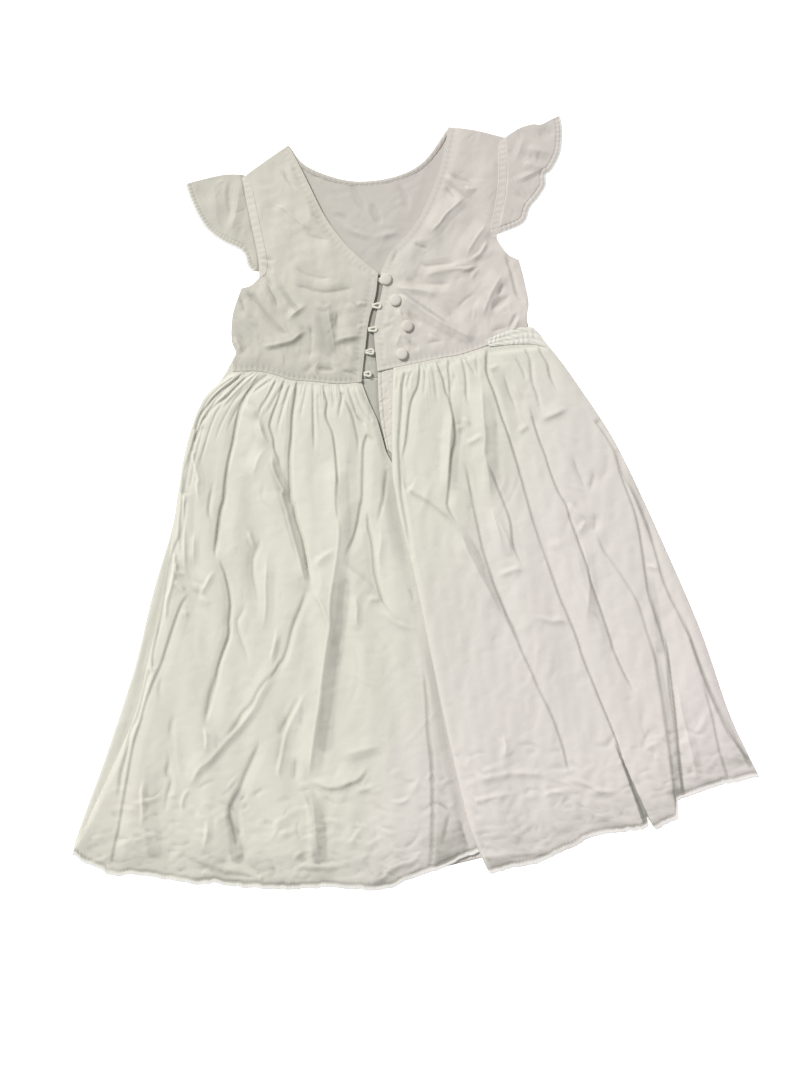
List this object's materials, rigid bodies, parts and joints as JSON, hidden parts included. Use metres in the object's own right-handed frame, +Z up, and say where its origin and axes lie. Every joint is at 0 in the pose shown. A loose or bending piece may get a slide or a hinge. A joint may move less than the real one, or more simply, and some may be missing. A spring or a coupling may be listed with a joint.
{
  "type": "toddler dress",
  "caption": "White cotton toddler dress laid flat on its back: flutter sleeves, V neck, loops and covered buttons, gathered ankle-length skirt.",
  "frame": {"origin": "bottom centre of the laid dress's box, on the surface it lies on", "axes": "+X towards the wearer's left, +Y from hem to neck, +Z up off the surface, front side up"},
  "size_m": [0.692, 0.7506, 0.0126],
  "materials": {
    "cotton": "matt thin cotton weave",
    "ruffle": "matt thin cotton, slightly sheer",
    "trim": "matt folded cotton with stitching"
  },
  "bodies": {
    "root": {"bodice_back": "cotton", "skirt_back": "cotton", "waist_casing": "trim", "bodice_front_left": "cotton", "bodice_front_right": "cotton", "skirt_front_left": "cotton", "skirt_front_right": "cotton", "placket_facing": "trim", "sleeve_left": "ruffle", "sleeve_right": "ruffle", "armhole_band_left": "trim", "armhole_band_right": "trim", "neck_binding": "trim", "button_1": "trim", "button_2": "trim", "button_3": "trim", "button_4": "trim", "loop_1": "trim", "loop_2": "trim", "loop_3": "trim", "loop_4": "trim", "loop_5": "trim"}
  },
  "joints": []
}
